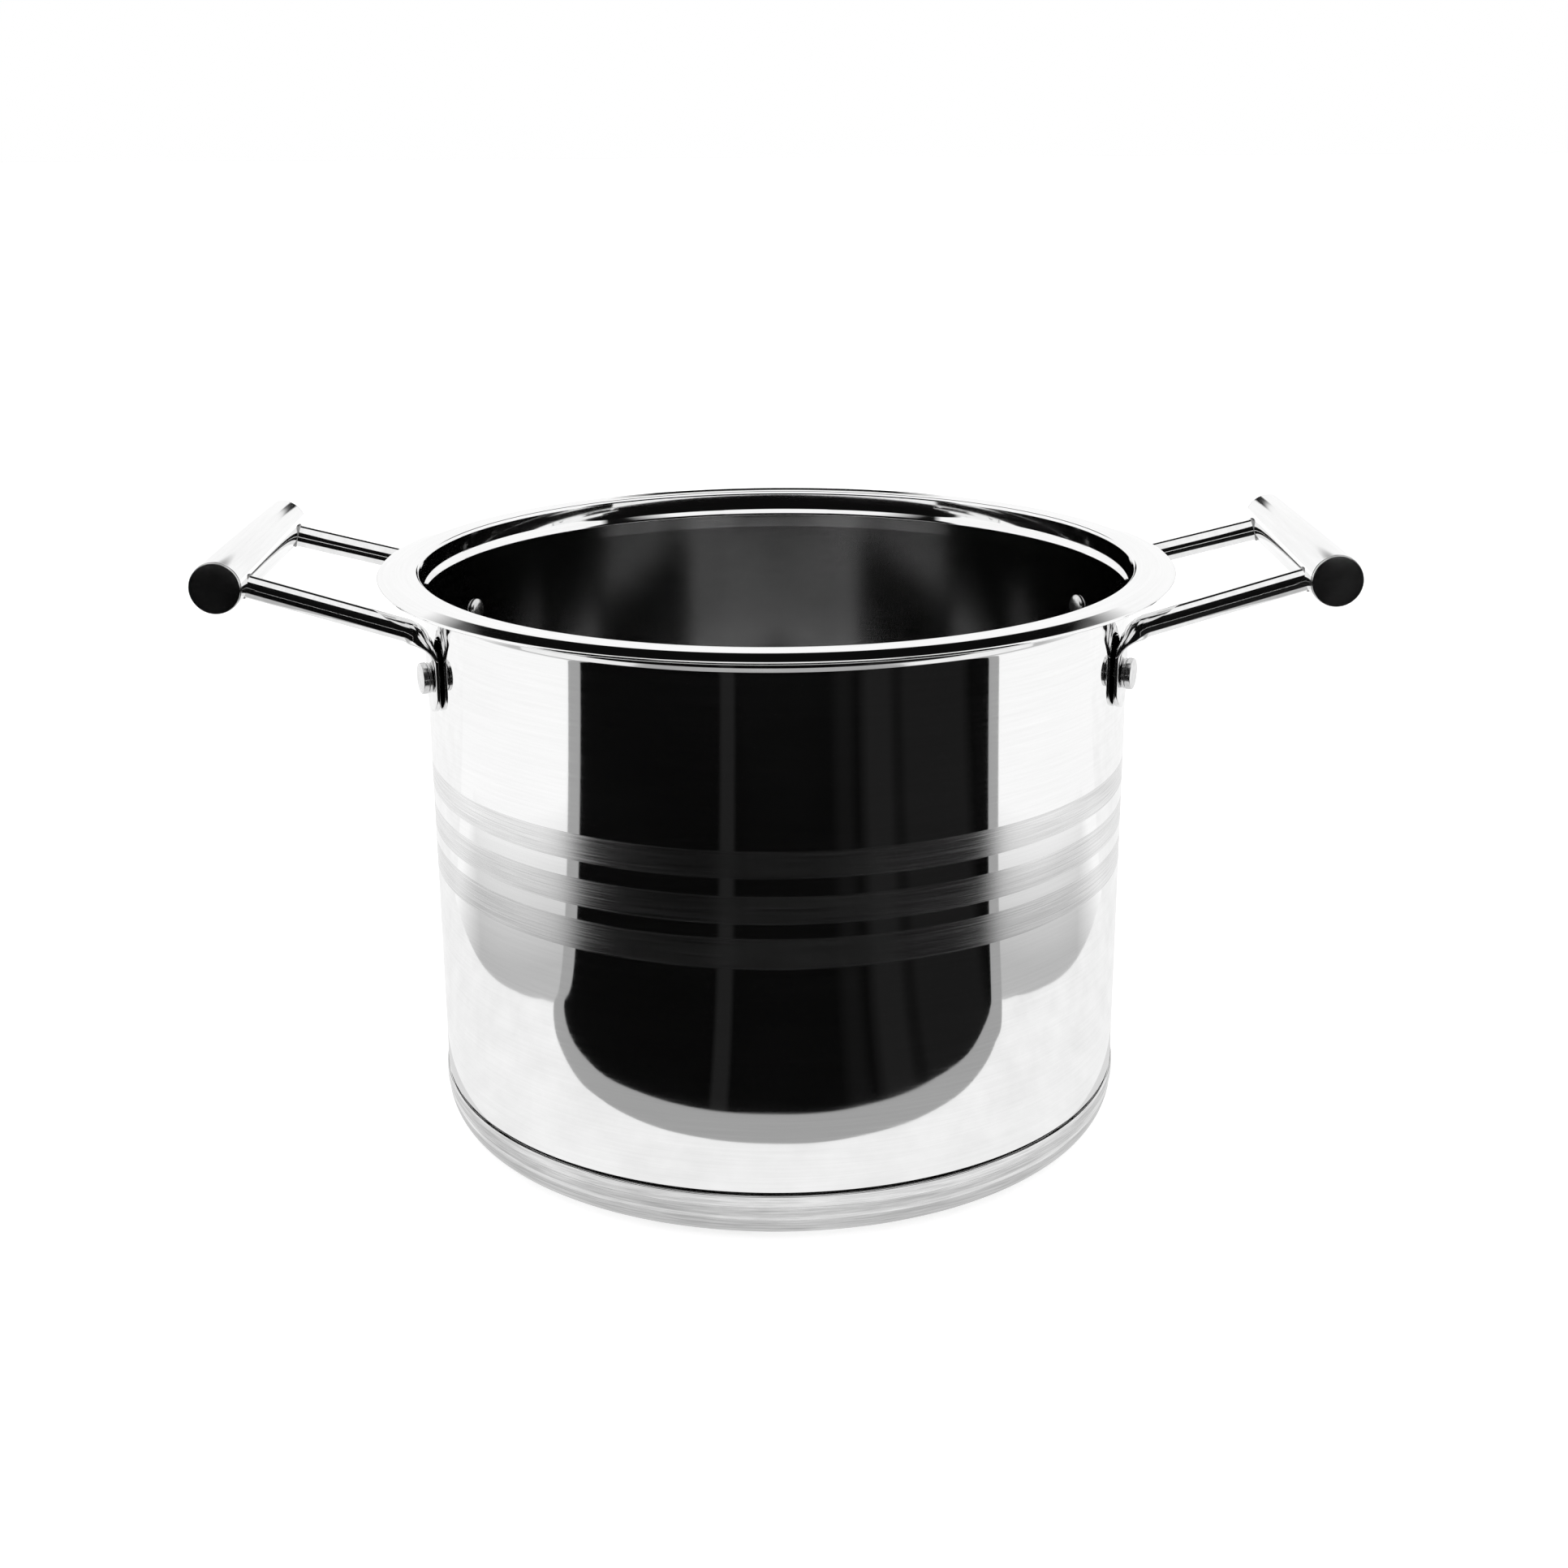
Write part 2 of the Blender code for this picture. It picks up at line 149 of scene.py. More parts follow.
ARM_WALL_Y = STRAP_FACE * math.sin(math.radians(RIVET_AZIMUTH))
GRIP_X = OUTER_RADIUS + HANDLE_REACH
SPLAY = math.atan2(ARM_WALL_Y - ARM_SPACING_AT_GRIP / 2, GRIP_X - ARM_WALL_X)
ARM_REACH = (GRIP_X - ARM_WALL_X) / math.cos(SPLAY)
BEND_ANGLE = math.radians(90 - ARM_SLOPE)
BEND_END_OUT = BEND_RADIUS * (1 - math.cos(BEND_ANGLE))
BEND_END_Z = STRAP_TOP + BEND_RADIUS * math.sin(BEND_ANGLE)
ARM_TOP_Z = BEND_END_Z + (ARM_REACH - BEND_END_OUT) / math.tan(BEND_ANGLE)
GRIP_Z = ARM_TOP_Z - ROD_RADIUS / math.sin(BEND_ANGLE)


def arc(centre, radius, start, end, count=CURVE_STEPS):
    """Points (r, z) on a circle from one angle to another, in degrees from +r towards +z."""
    points = []
    for i in range(count + 1):
        angle = math.radians(start + (end - start) * i / count)
        points.append((centre[0] + radius * math.cos(angle), centre[1] + radius * math.sin(angle)))
    return points


def finish_piece(name, mesh, materials, slot, *nodes):
    """A finished piece that stands for its CAD nodes. Its slot argument is not used."""
    for material in materials:
        mesh.materials.append(material)
    mesh.shade_smooth()
    mesh.set_sharp_from_angle(angle=SMOOTH_ANGLE)
    item = bpy.data.objects.new(name, mesh)
    bpy.context.scene.collection.objects.link(item)
    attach(item, "root")
    if nodes:
        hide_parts(*nodes)
    return item


def turned_mesh(name, profile, facets, place=None, closed=False, material_of=None):
    """A mesh turned round Z. Points on the axis become one vertex, and material_of picks a face's finish."""
    shape = bmesh.new()
    rings = []
    for r, z in profile:
        if r < ON_AXIS:
            rings.append([shape.verts.new((0, 0, z))])
            continue
        ring = []
        for i in range(facets):
            angle = 2 * math.pi * i / facets
            ring.append(shape.verts.new((r * math.cos(angle), r * math.sin(angle), z)))
        rings.append(ring)
    pairs = list(zip(range(len(rings)), range(1, len(rings))))
    if closed:
        pairs.append((len(rings) - 1, 0))
    for low, high in pairs:
        first, second = rings[low], rings[high]
        kind = material_of(profile[low], profile[high]) if material_of else 0
        for i in range(facets):
            after = (i + 1) % facets
            if len(first) == 1 and len(second) == 1:
                continue
            if len(first) == 1:
                corners = (first[0], second[i], second[after])
            elif len(second) == 1:
                corners = (first[i], second[0], first[after])
            else:
                corners = (first[i], second[i], second[after], first[after])
            face = shape.faces.new(corners)
            face.material_index = kind
    if place is not None:
        shape.transform(place)
    bmesh.ops.recalc_face_normals(shape, faces=shape.faces)
    mesh = bpy.data.meshes.new(name)
    shape.to_mesh(mesh)
    shape.free()
    return mesh


# Nodes of the metal finishes

def new_material(name):
    made = bpy.data.materials.new(name)
    made.use_nodes = True
    return made, made.node_tree, made.node_tree.nodes["Principled BSDF"]


def math_node(tree, operation, first, second=None):
    """The result of a sum on one or two values, each a number or another node's result."""
    made = tree.nodes.new("ShaderNodeMath")
    made.operation = operation
    for socket, value in zip(made.inputs, (first, second)):
        if value is None:
            continue
        if isinstance(value, (int, float)):
            socket.default_value = value
        else:
            tree.links.new(value, socket)
    return made.outputs[0]


def noise_node(tree, vector, scale, detail, roughness=0.5):
    made = tree.nodes.new("ShaderNodeTexNoise")
    made.inputs["Scale"].default_value = scale
    made.inputs["Detail"].default_value = detail
    made.inputs["Roughness"].default_value = roughness
    tree.links.new(vector, made.inputs["Vector"])
    return made.outputs["Fac"]


def stretch(tree, value, low, high, lowest=0.0, highest=1.0):
    """A value spread from one range, 0 to 1 unless given, over another."""
    made = tree.nodes.new("ShaderNodeMapRange")
    made.inputs["From Min"].default_value = lowest
    made.inputs["From Max"].default_value = highest
    made.inputs["To Min"].default_value = low
    made.inputs["To Max"].default_value = high
    tree.links.new(value, made.inputs["Value"])
    return made.outputs["Result"]


def clamped(tree, value):
    """A value kept between 0 and 1."""
    return math_node(tree, "MINIMUM", math_node(tree, "MAXIMUM", value, 0.0), 1.0)


def weighted(tree, first, first_share, second, second_share):
    """Two values added by their shares."""
    return math_node(
        tree, "ADD",
        math_node(tree, "MULTIPLY", first, first_share),
        math_node(tree, "MULTIPLY", second, second_share),
    )


def place_node(tree):
    """The place on the object, in metres."""
    return tree.nodes.new("ShaderNodeTexCoord").outputs["Object"]


def around_vector(tree, around_scale, height_scale):
    """Coordinates that follow the pot round its axis: turn, height and distance from the axis."""
    split = tree.nodes.new("ShaderNodeSeparateXYZ")
    tree.links.new(place_node(tree), split.inputs[0])
    across, deep, height = split.outputs
    turn = math_node(tree, "ARCTAN2", deep, across)
    radius = math_node(tree, "SQRT", math_node(
        tree, "ADD", math_node(tree, "MULTIPLY", across, across), math_node(tree, "MULTIPLY", deep, deep)
    ))
    joined = tree.nodes.new("ShaderNodeCombineXYZ")
    tree.links.new(math_node(tree, "MULTIPLY", turn, around_scale), joined.inputs[0])
    tree.links.new(math_node(tree, "MULTIPLY", height, height_scale), joined.inputs[1])
    tree.links.new(math_node(tree, "MULTIPLY", radius, height_scale), joined.inputs[2])
    return joined.outputs[0]


def scaled_vector(tree, scale):
    made = tree.nodes.new("ShaderNodeMapping")
    made.inputs["Scale"].default_value = scale
    tree.links.new(place_node(tree), made.inputs["Vector"])
    return made.outputs["Vector"]


def add_bump(tree, shader, height):
    """Relief from a height in millimetres."""
    made = tree.nodes.new("ShaderNodeBump")
    made.inputs["Strength"].default_value = 1.0
    made.inputs["Distance"].default_value = MM
    tree.links.new(height, made.inputs["Height"])
    tree.links.new(made.outputs["Normal"], shader.inputs["Normal"])


def tint(tree, shader, value, dark, light):
    """Base colour from dark to light grey."""
    made = tree.nodes.new("ShaderNodeMix")
    made.data_type = "RGBA"
    made.inputs["A"].default_value = (dark, dark, dark, 1)
    made.inputs["B"].default_value = (light, light, light, 1)
    tree.links.new(value, made.inputs["Factor"])
    tree.links.new(made.outputs["Result"], shader.inputs["Base Color"])


# Polish marks, slow clouds and slow dents: how fine the noise is, how much of each counts, and the part
# of the noise's range that its values really fill
MARKS_SHARE = 0.65
CLOUDS_SHARE = 0.35
CLOUDS_SCALE = 18.0
DENTS_SCALE = 22.0
MARKS_RANGE = (0.33, 0.67)


def metal(name, grey, rough, streaks, turned_finish=True, grain=0.0, wave=0.0, anisotropy=0.0):
    """A bare metal. grey and rough are (low, high), streaks is how closely the polish marks follow each other
    along and across their direction, grain their depth and wave the depth of slow dents, in metres."""
    made, tree, shader = new_material(name)
    shader.inputs["Metallic"].default_value = 1.0
    shader.inputs["Anisotropic"].default_value = anisotropy
    length, fineness = streaks
    if turned_finish:
        vector = around_vector(tree, length, fineness)
    else:
        vector = scaled_vector(tree, (fineness, length, fineness))
    marks = noise_node(tree, vector, 1.0, detail=5.0, roughness=0.65)
    clouds = noise_node(tree, place_node(tree), CLOUDS_SCALE, detail=2.0)
    both = weighted(tree, marks, MARKS_SHARE, clouds, CLOUDS_SHARE)
    both = stretch(tree, both, 0.0, 1.0, *MARKS_RANGE)
    tint(tree, shader, both, *grey)
    tree.links.new(stretch(tree, both, *rough), shader.inputs["Roughness"])
    if grain or wave:
        dents = noise_node(tree, place_node(tree), DENTS_SCALE, detail=1.0)
        add_bump(tree, shader, weighted(tree, marks, grain / MM, dents, wave / MM))
    if anisotropy:
        tangent = tree.nodes.new("ShaderNodeTangent")
        tangent.direction_type = "RADIAL"
        tangent.axis = "Z"
        tree.links.new(tangent.outputs["Tangent"], shader.inputs["Tangent"])
    return made


def make_finishes():
    plain = {"turned_finish": False}
    return {
        "polished": metal("polished_steel", (0.90, 0.97), (0.025, 0.060), (3.0, 900.0), wave=0.000012),
        "band": metal(
            "satin_band", (0.55, 1.00), (0.10, 0.24), (3.0, 2000.0), grain=0.000004, anisotropy=0.7
        ),
        # The inside's darker grey is partly its satin finish and partly painted shade inside the pot.
        "inside": metal(
            "satin_inside_painted_shade", (0.38, 0.60), (0.06, 0.13), (6.0, 3500.0), grain=0.000002, anisotropy=0.3
        ),
        "base": metal("base_steel", (0.52, 0.98), (0.06, 0.16), (7.0, 1500.0), wave=0.000016),
        "rod": metal("rod_steel", (0.80, 0.95), (0.04, 0.09), (60.0, 260.0), **plain),
        "grip": metal("grip_steel", (0.88, 0.96), (0.05, 0.10), (30.0, 700.0), wave=0.000006, **plain),
        "cap": metal("cap_steel", (0.50, 0.68), (0.08, 0.13), (160.0, 160.0), **plain),
        "rivet": metal("rivet_steel", (0.62, 0.85), (0.16, 0.30), (400.0, 400.0), grain=0.000004, **plain),
        # The weld beads' dark grey is painted shade where the rods meet the grips.
        "weld": metal("weld_steel_painted_shade", (0.12, 0.38), (0.22, 0.38), (700.0, 700.0), grain=0.000010, **plain),
        "core": metal("core_aluminium", (0.74, 0.88), (0.32, 0.48), (12.0, 900.0), grain=0.000004),
    }


# Pot

def eased_corner(before, corner, after):
    """A corner rounded off between a point before it and a point after it."""
    points = []
    for i in range(EDGE_STEPS + 1):
        t = i / EDGE_STEPS
        points.append(tuple(
            a * (1 - t) ** 2 + 2 * b * t * (1 - t) + c * t ** 2 for a, b, c in zip(before, corner, after)
        ))
    return points


def neck_line(start_radius):
    """One side of the neck from its top down: a slight lean, a cone, and the start of the straight wall."""
    top = Vector((start_radius + NECK_FLARE, NECK_TOP))
    upper = Vector((start_radius + NECK_STEP_WIDTH, NECK_STEP_TOP))
    lower = Vector((start_radius, NECK_STEP_BOTTOM))
    down_lean = (upper - top).normalized() * NECK_STEP_EASE
    down_cone = (lower - upper).normalized() * NECK_STEP_EASE
    down_wall = Vector((0, -NECK_STEP_EASE))
    points = [tuple(top)]
    points += eased_corner(upper - down_lean, upper, upper + down_cone)
    points += eased_corner(lower - down_cone, lower, lower + down_wall)
    points.append((start_radius, POT_HEIGHT - NECK_HEIGHT))
    return points


def lip_line(drop):
    """The flat ring's outer edge and the sloping lip, a given distance under the rim's upper side."""
    start = INNER_RADIUS + NECK_FLARE + RIM_FILLET + RIM_FLAT_WIDTH
    points = []
    for i in range(CURVE_STEPS + 1):
        out = i / CURVE_STEPS
        slope = max(out - LIP_EASE, 0) + min(out, LIP_EASE) ** 2 / (2 * LIP_EASE)
        fall = LIP_DROP * slope / (1 - LIP_EASE / 2)
        points.append((start + LIP_WIDTH * out, POT_HEIGHT - fall - drop))
    return points


def pot_profile():
    """From the middle of the inner floor up the inside, over the rim and down the outside."""
    floor_top = FLOOR_BOTTOM + WALL
    step_inside = STEP_RADIUS - WALL
    inner_corner = (step_inside - FLOOR_CORNER, floor_top + FLOOR_CORNER)
    points = [(0, floor_top), (INNER_RADIUS / 2, floor_top)] + arc(inner_corner, FLOOR_CORNER, -90, 0)
    points += [(step_inside, GROOVE_TOP - WALL), (INNER_RADIUS, GROOVE_TOP + GROOVE_EASE)]
    points += [(INNER_RADIUS, SATIN_INSIDE_TOP)]
    points += list(reversed(neck_line(INNER_RADIUS)))[:-1]

    fillet = (INNER_RADIUS + NECK_FLARE + RIM_FILLET, NECK_TOP)
    lip_edge = lip_line(WALL / 2)[-1]
    points += arc(fillet, RIM_FILLET, 180, 90)
    points += lip_line(0)
    points += arc(lip_edge, WALL / 2, 60, -60, EDGE_STEPS)
    points += list(reversed(lip_line(WALL)))
    points += arc(fillet, RIM_BEND, 90, 180, BEND_STEPS)

    outer_corner = (inner_corner[0], FLOOR_BOTTOM + FLOOR_CORNER + WALL)
    points += neck_line(OUTER_RADIUS)[1:]
    for upper, lower in BANDS:
        points += [(OUTER_RADIUS, upper), (OUTER_RADIUS, lower)]
    points += [(OUTER_RADIUS, GROOVE_TOP + EDGE_ROUNDING), (OUTER_RADIUS - EDGE_ROUNDING, GROOVE_TOP)]
    points.append((STEP_RADIUS, GROOVE_TOP))
    points += arc(outer_corner, FLOOR_CORNER + WALL, 0, -90)
    points.append((0, FLOOR_BOTTOM))
    return points


POLISHED, SATIN_BAND, SATIN_INSIDE = range(3)


def pot_finish(start, end):
    """Which finish the stretch of wall between two profile points has."""
    if (start, end) in [((OUTER_RADIUS, upper), (OUTER_RADIUS, lower)) for upper, lower in BANDS]:
        return SATIN_BAND
    widest = max(start[0], end[0])
    highest = max(start[1], end[1])
    inside = widest <= INNER_RADIUS + SAME_PLACE and highest <= SATIN_INSIDE_TOP + SAME_PLACE
    if inside and highest > FLOOR_BOTTOM + WALL / 2:
        return SATIN_INSIDE
    return POLISHED


def build_pot(finishes):
    mesh = turned_mesh("pot_body", pot_profile(), POT_FACETS, material_of=pot_finish)
    surfaces = [finishes["polished"], finishes["band"], finishes["inside"]]
    finish_piece("pot_body", mesh, surfaces, "pot_steel", "pot_shell")


# Base

def build_base(finishes):
    """The capsule's visible skin: band, rounded foot and the flat it stands on, with its inner side."""
    rounding = (CAPSULE_RADIUS - EDGE_ROUNDING, CAPSULE_HEIGHT - EDGE_ROUNDING)
    reach = CAPSULE_RADIUS - EDGE_ROUNDING - CAPSULE_FOOT_RADIUS
    height = BAND_BOTTOM - EDGE_ROUNDING
    outside = arc(rounding, EDGE_ROUNDING, 90, 0, EDGE_STEPS) + [(CAPSULE_RADIUS, BAND_BOTTOM + LINE_HEIGHT)]
    outside.append((CAPSULE_RADIUS - LINE_DEPTH, BAND_BOTTOM + LINE_HEIGHT / 2))
    steps = 2 * CURVE_STEPS
    for i in range(steps + 1):
        angle = math.radians(90 * i / steps)
        outside.append((CAPSULE_FOOT_RADIUS + reach * math.cos(angle), height * (1 - math.sin(angle))))
    inside = [(0, CAPSULE_WALL), (CAPSULE_FOOT_RADIUS, CAPSULE_WALL)]
    inner_radius = CAPSULE_RADIUS - CAPSULE_WALL
    for i in range(1, CURVE_STEPS + 1):
        angle = math.radians(90 * (1 - i / CURVE_STEPS))
        across = inner_radius - CAPSULE_FOOT_RADIUS
        inside.append((
            CAPSULE_FOOT_RADIUS + across * math.cos(angle),
            CAPSULE_WALL + (height - CAPSULE_WALL) * (1 - math.sin(angle)),
        ))
    inside.append((inner_radius, CAPSULE_HEIGHT))
    mesh = turned_mesh("base_cup", inside + outside + [(0, 0)], POT_FACETS)
    finish_piece("base_cup", mesh, [finishes["base"]], "base_steel", "base_capsule")
    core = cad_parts["base_core"]
    core.data.materials.clear()
    core.data.materials.append(finishes["core"])


# Handles

def rivet_frame(side, end):
    """A frame where a rivet's axis leaves the pot's outer face, with Z pointing out."""
    azimuth = math.radians(RIVET_AZIMUTH)
    out = Vector((SIDES[side] * math.cos(azimuth), ENDS[end] * math.sin(azimuth), 0))
    made = Matrix((UP.cross(out), UP, out)).transposed().to_4x4()
    made.translation = out * OUTER_RADIUS + UP * RIVET_Z
    return made


def arm_stations():
    """Along the arm from the strap's end to the grip: how far out and how high the side that faces the wall
    is, how far it has bent, how wide the section is, and how round, from 0 on the strap to 1 on the rod."""
    half_strap = STRAP_WIDTH / 2
    strap_end = RIVET_Z - STRAP_BELOW_RIVET
    press_bottom = RIVET_Z + max(HEAD_RADIUS, WASHER_RADIUS) + PRESS_CLEARANCE
    press_length = STRAP_TOP - press_bottom + BEND_RADIUS * PRESS_END_ANGLE
    stations = []
    for i in range(1, CURVE_STEPS + 1):
        turn = math.pi / 2 * i / CURVE_STEPS
        stations.append((0, strap_end + half_strap * (1 - math.cos(turn)), 0, math.sin(turn), 0))
    for i in range(CURVE_STEPS // 2 + 1):
        z = press_bottom + (STRAP_TOP - press_bottom) * 2 * i / CURVE_STEPS
        stations.append((0, z, 0, 1, (z - press_bottom) / press_length))
    for i in range(1, 2 * CURVE_STEPS + 1):
        angle = BEND_ANGLE * i / (2 * CURVE_STEPS)
        out = BEND_RADIUS * (1 - math.cos(angle))
        z = STRAP_TOP + BEND_RADIUS * math.sin(angle)
        travelled = STRAP_TOP - press_bottom + BEND_RADIUS * angle
        stations.append((out, z, angle, 1, min(travelled / press_length, 1)))
    short = GRIP_RADIUS - GRIP_WALL
    stations.append((ARM_REACH - short, ARM_TOP_Z - short / math.tan(BEND_ANGLE), BEND_ANGLE, 1, 1))
    return stations


def arm_section(station):
    """The ring of points of one section of the right rear arm."""
    out, z, angle, width_share, travelled = station
    roundness = travelled * travelled * (3 - 2 * travelled)
    half = STRAP_THICKNESS / 2 + (ROD_RADIUS - STRAP_THICKNESS / 2) * roundness
    width = (STRAP_WIDTH / 2 + (ROD_RADIUS - STRAP_WIDTH / 2) * roundness) * width_share
    squareness = STRAP_SQUARENESS + (2 - STRAP_SQUARENESS) * roundness
    twist = (math.radians(RIVET_AZIMUTH) + SPLAY) * (1 - roundness)
    heading = Vector((math.cos(SPLAY), -math.sin(SPLAY), 0))
    sideways = Vector((math.sin(SPLAY), math.cos(SPLAY), 0))
    away = heading * math.cos(angle) - UP * math.sin(angle)
    thick_way = away * math.cos(twist) + sideways * math.sin(twist)
    wide_way = sideways * math.cos(twist) - away * math.sin(twist)
    centre = Vector((ARM_WALL_X, ARM_WALL_Y, z)) + heading * out + thick_way * half
    ring = []
    for i in range(ROD_FACETS):
        around = 2 * math.pi * (i + 0.5) / ROD_FACETS
        across = math.copysign(abs(math.cos(around)) ** (2 / squareness), math.cos(around))
        along = math.copysign(abs(math.sin(around)) ** (2 / squareness), math.sin(around))
        ring.append(centre + thick_way * half * across + wide_way * width * along)
    return ring


def arm_mesh(name, x_way, y_way):
    """One arm, lofted from its sections and mirrored to its corner of the pot."""
    shape = bmesh.new()
    rings = [[shape.verts.new(point) for point in arm_section(station)] for station in arm_stations()]
    for lower, upper in zip(rings, rings[1:]):
        for i in range(ROD_FACETS):
            after = (i + 1) % ROD_FACETS
            shape.faces.new((lower[i], lower[after], upper[after], upper[i]))
    shape.faces.new(reversed(rings[0]))
    shape.faces.new(rings[-1])
    shape.transform(Matrix.Diagonal((x_way, y_way, 1, 1)))
    bmesh.ops.recalc_face_normals(shape, faces=shape.faces)
    mesh = bpy.data.meshes.new(name)
    shape.to_mesh(mesh)
    shape.free()
    return mesh


def rivet_profile():
    """Rivet along Z, zero on the pot's outer face: flat head outside, domed head inside."""
    head_bottom = GAP + STRAP_THICKNESS + GAP + WASHER_THICKNESS + GAP
    head_top = head_bottom + HEAD_THICKNESS
    curve_of_wall = INNER_RADIUS - math.sqrt(INNER_RADIUS ** 2 - DOME_RADIUS ** 2)
    dome_base = -WALL - GAP - curve_of_wall
    points = [(0, head_top)]
    points += arc((HEAD_RADIUS - HEAD_ROUNDING, head_top - HEAD_ROUNDING), HEAD_ROUNDING, 90, 0, EDGE_STEPS)
    points += [(HEAD_RADIUS, head_bottom), (SHANK_RADIUS, head_bottom), (SHANK_RADIUS, dome_base)]
    for i in range(CURVE_STEPS):
        angle = math.radians(90 * i / CURVE_STEPS)
        points.append((DOME_RADIUS * math.cos(angle), dome_base - DOME_HEIGHT * math.sin(angle)))
    points.append((0, dome_base - DOME_HEIGHT))
    return points


def washer_profile():
    """Washer along Z, zero on the pot's outer face."""
    low = GAP + STRAP_THICKNESS + GAP
    high = low + WASHER_THICKNESS
    easing = WASHER_THICKNESS / 6
    bore = SHANK_RADIUS + GAP
    return [
        (bore, high), (WASHER_RADIUS - easing, high), (WASHER_RADIUS, high - easing),
        (WASHER_RADIUS, low + easing), (WASHER_RADIUS - easing, low), (bore, low),
    ]


def tube_profile():
    """Grip tube along Z, centred, with eased outer edges."""
    half = GRIP_LENGTH / 2 - CAP_THICKNESS - GAP
    bore = GRIP_RADIUS - GRIP_WALL
    edge = GRIP_RADIUS - EDGE_ROUNDING
    outside = arc((edge, half - EDGE_ROUNDING), EDGE_ROUNDING, 90, 0, EDGE_STEPS)
    outside += arc((edge, EDGE_ROUNDING - half), EDGE_ROUNDING, 0, -90, EDGE_STEPS)
    return outside + [(bore, -half), (bore, half)]


def cap_profile():
    """End cap along Z, zero on its outer face: a flat disc with a spigot in the tube."""
    disc = GRIP_RADIUS - CAP_INSET
    spigot = GRIP_RADIUS - GRIP_WALL - GAP
    points = [(0, 0)] + arc((disc - EDGE_ROUNDING, -EDGE_ROUNDING), EDGE_ROUNDING, 90, 0, EDGE_STEPS)
    points += [(disc, -CAP_THICKNESS), (spigot, -CAP_THICKNESS)]
    points += [(spigot, -CAP_THICKNESS - CAP_SPIGOT), (0, -CAP_THICKNESS - CAP_SPIGOT)]
    return points


def weld_profile():
    """A bead of weld round a rod, as a ring turned round the rod's axis."""
    return arc((ROD_RADIUS, 0), WELD_RADIUS, -90, 90, BEAD_STEPS)


def weld_place(x_way, y_way):
    """A frame on the rod's axis where the rod enters the grip, with Z along the rod."""
    slope = math.pi / 2 - BEND_ANGLE
    heading = Vector((math.cos(SPLAY), -math.sin(SPLAY), 0))
    along = heading * math.cos(slope) + UP * math.sin(slope)
    below = heading * math.sin(slope) - UP * math.cos(slope)
    out = ARM_REACH - GRIP_RADIUS
    top = Vector((ARM_WALL_X, ARM_WALL_Y, ARM_TOP_Z - GRIP_RADIUS * math.tan(slope))) + heading * out
    centre = top + below * ROD_RADIUS
    made = Matrix((along.cross(below), below, along)).transposed().to_4x4()
    made.translation = centre
    return Matrix.Diagonal((x_way, y_way, 1, 1)) @ made


def build_handles(finishes):
    for side, x_way in SIDES.items():
        centre = Vector((x_way * GRIP_X, 0, GRIP_Z))
        along = Matrix.Translation(centre) @ Matrix.Rotation(math.pi / 2, 4, "X")
        tube = turned_mesh(f"{side}_grip", tube_profile(), TUBE_FACETS, along, closed=True)
        finish_piece(f"{side}_grip", tube, [finishes["grip"]], "polished_steel", f"{side}_grip_tube")
        for end, y_way in ENDS.items():
            corner = f"{side}_{end}"
            arm = arm_mesh(f"{corner}_bracket", x_way, y_way)
            finish_piece(f"{corner}_bracket", arm, [finishes["rod"]], "polished_steel", f"{corner}_arm")
            at_grip = weld_place(x_way, y_way)
            bead = turned_mesh(f"{corner}_weld", weld_profile(), SMALL_FACETS, at_grip, closed=True)
            finish_piece(f"{corner}_weld", bead, [finishes["weld"]], "polished_steel")
            at = centre + Vector((0, y_way * GRIP_LENGTH / 2, 0))
            outward = Matrix.Translation(at) @ Matrix.Rotation(-y_way * math.pi / 2, 4, "X")
            cap = turned_mesh(f"{corner}_end_disc", cap_profile(), TUBE_FACETS, outward)
            finish_piece(f"{corner}_end_disc", cap, [finishes["cap"]], "brushed_steel", f"{corner}_cap")
            place = rivet_frame(side, end)
            rivet = turned_mesh(f"{corner}_stud", rivet_profile(), SMALL_FACETS, place)
            finish_piece(f"{corner}_stud", rivet, [finishes["rivet"]], "polished_steel", f"{corner}_rivet")
            washer = turned_mesh(f"{corner}_ring", washer_profile(), SMALL_FACETS, place, closed=True)
            finish_piece(f"{corner}_ring", washer, [finishes["rivet"]], "polished_steel", f"{corner}_washer")


# Camera

# Place, downward pitch, small turn and lean, focal length and sensor width in millimetres, and the photo's
# width and height in pixels
CAMERA_DISTANCE = 0.7503
CAMERA_HEIGHT = 0.3601
CAMERA_PITCH = math.radians(18.114)
CAMERA_PAN = -0.0029231
CAMERA_ROLL = -0.0059025
CAMERA_LENS = 50.85
SENSOR_WIDTH = 36
PHOTO_SIDE = 1932


def camera_axes():
    """The directions to the camera's right, up and forward."""
    forward = Vector((0, math.cos(CAMERA_PITCH), -math.sin(CAMERA_PITCH)))
    right = Vector((1, 0, 0))
    up = right.cross(forward)
    lean_right = right * math.cos(CAMERA_ROLL) + up * math.sin(CAMERA_ROLL)
    lean_up = up * math.cos(CAMERA_ROLL) - right * math.sin(CAMERA_ROLL)
    pan = Matrix.Rotation(CAMERA_PAN, 3, "Z")
    return pan @ lean_right, pan @ lean_up, pan @ forward


def floor_seen_at(place):
    """The floor point that the pot's wall mirrors at a place in the photo, given in pixels."""
    right, up, forward = camera_axes()
    focal = CAMERA_LENS / SENSOR_WIDTH * PHOTO_SIDE
    across, down = (pixels - PHOTO_SIDE / 2 for pixels in place)
    ray = (forward * focal + right * across - up * down).normalized()
    eye = Vector((0, -CAMERA_DISTANCE, CAMERA_HEIGHT))
    flat = ray.xy.length_squared
    nearing = -eye.xy.dot(ray.xy)
    beyond = eye.xy.length_squared - OUTER_RADIUS ** 2
    on_wall = eye + ray * ((nearing - math.sqrt(nearing ** 2 - flat * beyond)) / flat)
    out = Vector((on_wall.x, on_wall.y, 0)).normalized()
    mirrored = ray - out * (2 * ray.dot(out))
    return (on_wall - mirrored * (on_wall.z / mirrored.z)).xy
